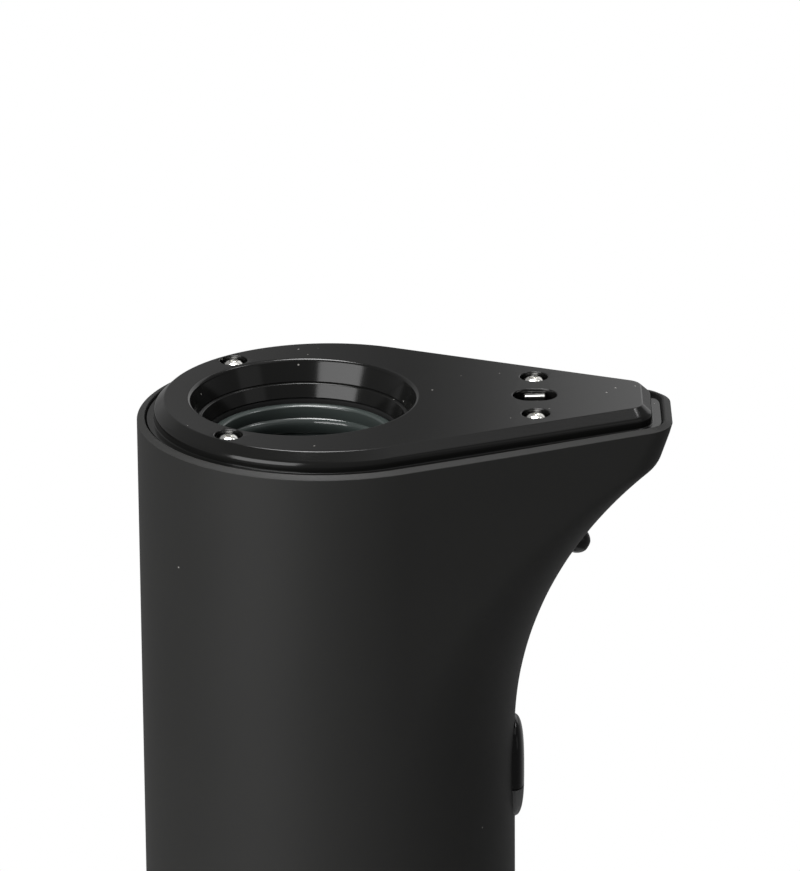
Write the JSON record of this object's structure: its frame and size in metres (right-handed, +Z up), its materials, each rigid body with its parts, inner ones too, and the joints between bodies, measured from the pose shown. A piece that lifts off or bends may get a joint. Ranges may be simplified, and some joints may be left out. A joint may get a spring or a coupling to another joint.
{
  "type": "automatic soap dispenser",
  "caption": "Touch-free black soap dispenser with its top cover off: round body, pointed beak with nozzle, open fill well, battery base, gear pump and motor inside.",
  "frame": {"origin": "middle of the foot's underside, on the round body's axis", "axes": "+Z up, +X towards the beak and the nozzle, +Y to the left of someone who looks along +X"},
  "size_m": [0.1063, 0.0748, 0.194],
  "materials": {
    "satin_black_abs": "fine satin",
    "gloss_black_abs": "high gloss",
    "smoky_tank_plastic": "smooth, slightly cloudy",
    "black_rubber": "matte",
    "pale_silicone": "milky",
    "bright_nickel": "bright plating",
    "zinc_steel": "zinc plated",
    "white_acetal": "as moulded",
    "grey_abs": "as moulded",
    "green_board": "green solder resist",
    "infrared_window": "dark polished window",
    "dark_diode": "dark tinted epoxy",
    "light_lens": "diffusing",
    "cell_sleeve": "plain printed sleeve",
    "lead_sleeve": "smooth"
  },
  "bodies": {
    "housing": {"outer_shell": "satin_black_abs", "deck_plate": "gloss_black_abs", "deck_screw_back_right": "bright_nickel", "deck_screw_back_left": "bright_nickel", "deck_screw_front_right": "bright_nickel", "deck_screw_front_left": "bright_nickel", "catch_magnet": "bright_nickel", "reservoir": "smoky_tank_plastic", "well_gasket": "black_rubber", "chassis_plate": "grey_abs", "chassis_screw_1": "zinc_steel", "chassis_screw_2": "zinc_steel", "chassis_screw_3": "zinc_steel", "pump_housing": "grey_abs", "pump_cover": "grey_abs", "pump_screw_left": "zinc_steel", "pump_screw_right": "zinc_steel", "pump_idler_pin": "zinc_steel", "shaft_seal": "black_rubber", "motor": "zinc_steel", "motor_cradle": "grey_abs", "battery_box": "grey_abs", "battery_cell_1": "cell_sleeve", "battery_cell_2": "cell_sleeve", "battery_cell_3": "cell_sleeve", "battery_cell_4": "cell_sleeve", "contact_top_bridge": "bright_nickel", "contact_top_minus": "bright_nickel", "contact_top_plus": "bright_nickel", "nozzle_tip": "gloss_black_abs", "nozzle_valve": "pale_silicone", "suction_hose": "black_rubber", "delivery_hose": "pale_silicone", "sensor_window": "infrared_window", "circuit_board": "green_board", "board_screw_low": "zinc_steel", "board_screw_high": "zinc_steel", "infrared_emitter": "dark_diode", "infrared_receiver": "dark_diode", "status_light": "light_lens", "button_switch": "grey_abs", "battery_lead": "lead_sleeve", "motor_lead": "lead_sleeve"},
    "button": {"control_button": "grey_abs"},
    "pump_drive": {"pump_drive_shaft": "zinc_steel", "pump_drive_gear": "white_acetal", "reduction_wheel": "white_acetal"},
    "pump_idler": {"pump_idler_gear": "white_acetal"},
    "motor_rotor": {"motor_shaft": "zinc_steel", "motor_pinion": "white_acetal"},
    "base_cover": {"battery_cover": "satin_black_abs", "foot_pad": "black_rubber", "battery_seal": "black_rubber", "contact_base_right": "bright_nickel", "contact_base_left": "bright_nickel"}
  },
  "joints": [
    {"name": "button_press", "type": "slide", "parent": "housing", "child": "button", "axis": [-1, 0, 0], "range_m": [0, 0.0006], "stiffness_N_per_m": 800, "springref_m": -0.0002},
    {"name": "pump_drive_spin", "type": "hinge", "parent": "housing", "child": "pump_drive", "pos_m": [0.008, 0, 0.09], "axis": [0, 0, 1], "continuous": true},
    {"name": "pump_idler_spin", "type": "hinge", "parent": "housing", "child": "pump_idler", "pos_m": [0.0188, 0, 0.0752], "axis": [0, 0, 1], "continuous": true},
    {"name": "motor_spin", "type": "hinge", "parent": "housing", "child": "motor_rotor", "pos_m": [-0.0136, 0, 0.09], "axis": [0, 0, 1], "continuous": true},
    {"name": "cover_twist", "type": "hinge", "parent": "housing", "child": "base_cover", "pos_m": [0, 0, 0], "axis": [0, 0, 1], "range_deg": [0, 30]}
  ],
  "couplings": [
    {"joint": "pump_idler_spin", "follows": "pump_drive_spin", "ratio": -1},
    {"joint": "motor_spin", "follows": "pump_drive_spin", "ratio": -3.5}
  ]
}
